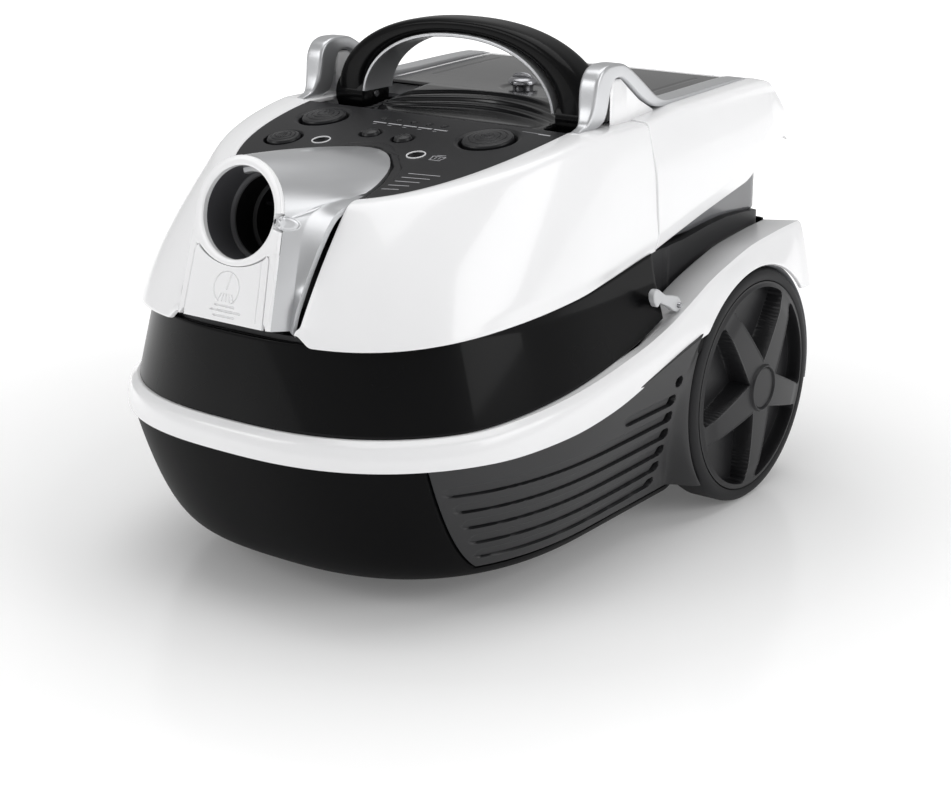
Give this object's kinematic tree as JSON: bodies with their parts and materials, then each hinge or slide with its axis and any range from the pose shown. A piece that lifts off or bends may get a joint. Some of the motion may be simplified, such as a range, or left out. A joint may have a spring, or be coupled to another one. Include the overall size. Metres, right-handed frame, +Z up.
{
  "type": "canister wet and dry washing vacuum cleaner",
  "caption": "Canister wet and dry vacuum cleaner: hose inlet, pull-out dirty tank, lift-off clean tank, carrying handle, large rear wheels.",
  "frame": {"origin": "on the floor, in the middle of the machine's length and width", "axes": "+X to the machine's right, -Y towards the hose inlet at its front, +Z up"},
  "size_m": [0.369, 0.4897, 0.36],
  "materials": {
    "black_abs": "satin moulded",
    "black_gloss": "high gloss",
    "white_abs": "gloss lacquered",
    "silver_paint": "satin metallic lacquer",
    "dark_liner": "matt moulded",
    "grey_plastic": "matt grained",
    "light_grey_plastic": "satin moulded",
    "rubber": "matt",
    "tyre_rubber": "matt",
    "smoky_clear": "smoked clear",
    "steel": "turned",
    "foam": "open cell foam",
    "fleece": "pleated fleece",
    "circuit": "solder mask",
    "chrome_trim": "plated"
  },
  "bodies": {
    "chassis": {"base_pan": "black_abs", "side_grille_left": "black_abs", "side_grille_right": "black_abs", "bumper_band": "white_abs", "arch_liners": "grey_plastic", "core_housing": "black_gloss", "suction_gasket": "rubber", "control_panel": "black_abs", "indicator_rings": "chrome_trim", "circuit_board": "circuit", "motor_can": "steel", "fan_housing": "dark_liner", "motor_mounts": "rubber", "suction_duct": "dark_liner", "spray_pump": "dark_liner", "reel_frame": "dark_liner", "exhaust_filter": "fleece", "rear_cover": "black_abs", "cable_outlet": "rubber", "rear_axle": "steel", "base_screws": "steel", "hinge_pins": "steel"},
    "front_container": {"dirty_tank": "black_gloss", "tank_seal": "rubber", "tank_lid": "dark_liner", "front_shell": "white_abs", "inlet_housing": "silver_paint", "inlet_face": "white_abs", "inlet_liner": "dark_liner", "inlet_elbow": "dark_liner", "spray_socket": "dark_liner", "foam_filter": "foam"},
    "spray_flap": {"spray_flap": "white_abs"},
    "hose_release_button": {"hose_release_button": "silver_paint"},
    "float_cup": {"float_cup": "light_grey_plastic"},
    "clean_tank": {"tank_shell": "white_abs", "loop_infills": "white_abs", "tank_body": "smoky_clear", "tank_top_plate": "black_gloss", "tank_valve": "dark_liner", "bracket_left": "silver_paint", "bracket_right": "silver_paint"},
    "filler_cap": {"filler_cap": "chrome_trim"},
    "handle": {"handle_shell": "black_gloss", "handle_trim": "silver_paint"},
    "power_button": {"power_button": "black_abs"},
    "rewind_button": {"rewind_button": "black_abs"},
    "spray_button": {"spray_button": "black_abs"},
    "minus_button": {"minus_button": "black_abs"},
    "plus_button": {"plus_button": "black_abs"},
    "latch_left": {"latch_lever_left": "light_grey_plastic"},
    "latch_right": {"latch_lever_right": "light_grey_plastic"},
    "wheel_left": {"tyre_left": "tyre_rubber", "hub_left": "grey_plastic"},
    "wheel_right": {"tyre_right": "tyre_rubber", "hub_right": "grey_plastic"},
    "caster_swivel": {"caster_fork": "grey_plastic"},
    "caster_roller": {"caster_wheel": "grey_plastic"},
    "impeller": {"impeller": "dark_liner"},
    "cable_drum": {"cable_drum": "dark_liner"}
  },
  "joints": [
    {"name": "container_slide", "type": "slide", "parent": "chassis", "child": "front_container", "axis": [0, -1, 0], "range_m": [0, 0.3]},
    {"name": "spray_flap_hinge", "type": "hinge", "parent": "front_container", "child": "spray_flap", "pos_m": [0, -0.23748, 0.1977], "axis": [1, 0, 0], "range_deg": [0, 85]},
    {"name": "hose_release_press", "type": "slide", "parent": "front_container", "child": "hose_release_button", "axis": [-1, 0, 0], "range_m": [0, 0.0014], "stiffness_N_per_m": 400},
    {"name": "float_lift", "type": "slide", "parent": "front_container", "child": "float_cup", "axis": [0, 0, 1], "range_m": [0, 0.012]},
    {"name": "clean_tank_lift", "type": "slide", "parent": "chassis", "child": "clean_tank", "axis": [0, 0, 1], "range_m": [0, 0.15]},
    {"name": "filler_cap_turn", "type": "hinge", "parent": "clean_tank", "child": "filler_cap", "pos_m": [0, 0.088, 0.306], "axis": [0, 0, 1], "range_deg": [0, 90]},
    {"name": "handle_fold", "type": "hinge", "parent": "chassis", "child": "handle", "pos_m": [0, 0.02, 0.298], "axis": [-1, 0, 0], "range_deg": [0, 50]},
    {"name": "power_press", "type": "slide", "parent": "chassis", "child": "power_button", "axis": [0, 0.1822, -0.9833], "range_m": [0, 0.002], "stiffness_N_per_m": 600, "springref_m": -0.0004},
    {"name": "rewind_press", "type": "slide", "parent": "chassis", "child": "rewind_button", "axis": [0, 0.1822, -0.9833], "range_m": [0, 0.002], "stiffness_N_per_m": 600, "springref_m": -0.0004},
    {"name": "spray_press", "type": "slide", "parent": "chassis", "child": "spray_button", "axis": [0, 0.1822, -0.9833], "range_m": [0, 0.002], "stiffness_N_per_m": 600, "springref_m": -0.0004},
    {"name": "minus_press", "type": "slide", "parent": "chassis", "child": "minus_button", "axis": [0, 0.1822, -0.9833], "range_m": [0, 0.002], "stiffness_N_per_m": 600, "springref_m": -0.0004},
    {"name": "plus_press", "type": "slide", "parent": "chassis", "child": "plus_button", "axis": [0, 0.1822, -0.9833], "range_m": [0, 0.002], "stiffness_N_per_m": 600, "springref_m": -0.0004},
    {"name": "latch_left_swing", "type": "hinge", "parent": "chassis", "child": "latch_left", "pos_m": [-0.1614, 0.044, 0.1705], "axis": [-1, 0, 0], "range_deg": [0, 55]},
    {"name": "latch_right_swing", "type": "hinge", "parent": "chassis", "child": "latch_right", "pos_m": [0.1614, 0.044, 0.1705], "axis": [-1, 0, 0], "range_deg": [0, 55]},
    {"name": "wheel_left_spin", "type": "hinge", "parent": "chassis", "child": "wheel_left", "pos_m": [0, 0.1395, 0.0887], "axis": [1, 0, 0], "continuous": true},
    {"name": "wheel_right_spin", "type": "hinge", "parent": "chassis", "child": "wheel_right", "pos_m": [0, 0.1395, 0.0887], "axis": [1, 0, 0], "continuous": true},
    {"name": "caster_turn", "type": "hinge", "parent": "chassis", "child": "caster_swivel", "pos_m": [0, -0.135, 0.05], "axis": [0, 0, 1], "continuous": true},
    {"name": "caster_roll", "type": "hinge", "parent": "caster_swivel", "child": "caster_roller", "pos_m": [0, -0.122, 0.021], "axis": [1, 0, 0], "continuous": true},
    {"name": "impeller_spin", "type": "hinge", "parent": "chassis", "child": "impeller", "pos_m": [0, 0.02, 0.084], "axis": [0, 1, 0], "continuous": true},
    {"name": "drum_spin", "type": "hinge", "parent": "chassis", "child": "cable_drum", "pos_m": [0, 0.15, 0.054], "axis": [0, 0, 1], "continuous": true}
  ]
}
